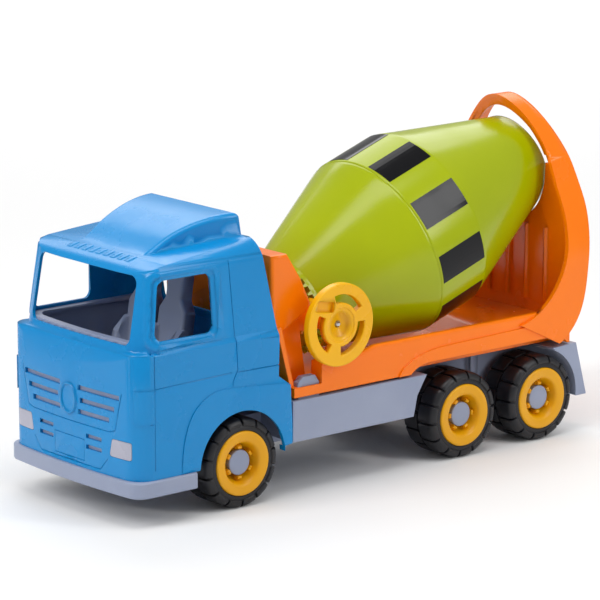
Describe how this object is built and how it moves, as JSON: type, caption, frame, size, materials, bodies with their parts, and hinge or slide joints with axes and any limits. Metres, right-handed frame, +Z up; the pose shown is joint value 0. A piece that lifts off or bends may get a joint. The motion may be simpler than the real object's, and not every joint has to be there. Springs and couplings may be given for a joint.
{
  "type": "toy concrete mixer truck",
  "caption": "Toy mixer truck: cab with open windows, ladder chassis on three axles, tilted drum turned by a side hand wheel through gears.",
  "frame": {"origin": "middle of the base of the truck's box, on the ground", "axes": "+X to the front of the truck, +Y to its left side with the hand wheel, +Z up"},
  "size_m": [0.5001, 0.1798, 0.2885],
  "materials": {
    "blue_plastic": "glossy moulded",
    "orange_plastic": "glossy moulded",
    "green_plastic": "glossy moulded",
    "yellow_plastic": "glossy moulded",
    "grey_plastic": "satin moulded",
    "lamp_grey": "satin moulded",
    "black_label": "glossy film",
    "tyre_black": "satin",
    "steel": "plain wire",
    "white_plastic": "natural nylon"
  },
  "bodies": {
    "truck": {"chassis": "grey_plastic", "front_bumper": "grey_plastic", "cab_interior": "grey_plastic", "grille_insert": "grey_plastic", "headlight_left": "lamp_grey", "headlight_right": "lamp_grey", "cab_shell": "blue_plastic", "body_base": "orange_plastic", "front_pedestal": "orange_plastic", "rear_hood": "orange_plastic", "rear_bulkhead": "orange_plastic", "case_screws": "steel", "drum_bush": "white_plastic", "shaft_bush": "white_plastic", "front_axle": "steel", "front_left_hub_cap": "grey_plastic", "front_right_hub_cap": "grey_plastic", "middle_axle": "steel", "middle_left_hub_cap": "grey_plastic", "middle_right_hub_cap": "grey_plastic", "rear_axle": "steel", "rear_left_hub_cap": "grey_plastic", "rear_right_hub_cap": "grey_plastic"},
    "drum": {"drum_front_shell": "green_plastic", "drum_rear_shell": "green_plastic", "mixing_fins": "green_plastic", "crown_gear": "green_plastic", "drum_stickers": "black_label", "drum_spindle": "steel", "spindle_nut": "white_plastic", "spindle_clip": "steel"},
    "hand_drive": {"handwheel": "yellow_plastic", "handwheel_shaft": "steel", "drive_pinion": "yellow_plastic"},
    "front_left_wheel": {"front_left_tyre": "tyre_black", "front_left_rim": "yellow_plastic"},
    "front_right_wheel": {"front_right_tyre": "tyre_black", "front_right_rim": "yellow_plastic"},
    "middle_left_wheel": {"middle_left_tyre": "tyre_black", "middle_left_rim": "yellow_plastic"},
    "middle_right_wheel": {"middle_right_tyre": "tyre_black", "middle_right_rim": "yellow_plastic"},
    "rear_left_wheel": {"rear_left_tyre": "tyre_black", "rear_left_rim": "yellow_plastic"},
    "rear_right_wheel": {"rear_right_tyre": "tyre_black", "rear_right_rim": "yellow_plastic"}
  },
  "joints": [
    {"name": "drum_spin", "type": "hinge", "parent": "truck", "child": "drum", "pos_m": [0.02257, -0.00235, 0.1369], "axis": [-0.9409, 0, 0.3387], "continuous": true},
    {"name": "handwheel_spin", "type": "hinge", "parent": "truck", "child": "hand_drive", "pos_m": [0.04087, 0.08385, 0.1374], "axis": [0, 1, 0], "continuous": true},
    {"name": "front_left_wheel_spin", "type": "hinge", "parent": "truck", "child": "front_left_wheel", "pos_m": [0.13837, 0.06365, 0.037], "axis": [0, 1, 0], "continuous": true},
    {"name": "front_right_wheel_spin", "type": "hinge", "parent": "truck", "child": "front_right_wheel", "pos_m": [0.13837, -0.06835, 0.037], "axis": [0, 1, 0], "continuous": true},
    {"name": "middle_left_wheel_spin", "type": "hinge", "parent": "truck", "child": "middle_left_wheel", "pos_m": [-0.10163, 0.06365, 0.037], "axis": [0, 1, 0], "continuous": true},
    {"name": "middle_right_wheel_spin", "type": "hinge", "parent": "truck", "child": "middle_right_wheel", "pos_m": [-0.10163, -0.06835, 0.037], "axis": [0, 1, 0], "continuous": true},
    {"name": "rear_left_wheel_spin", "type": "hinge", "parent": "truck", "child": "rear_left_wheel", "pos_m": [-0.19163, 0.06365, 0.037], "axis": [0, 1, 0], "continuous": true},
    {"name": "rear_right_wheel_spin", "type": "hinge", "parent": "truck", "child": "rear_right_wheel", "pos_m": [-0.19163, -0.06835, 0.037], "axis": [0, 1, 0], "continuous": true}
  ],
  "couplings": [
    {"joint": "handwheel_spin", "follows": "drum_spin", "ratio": -3}
  ]
}
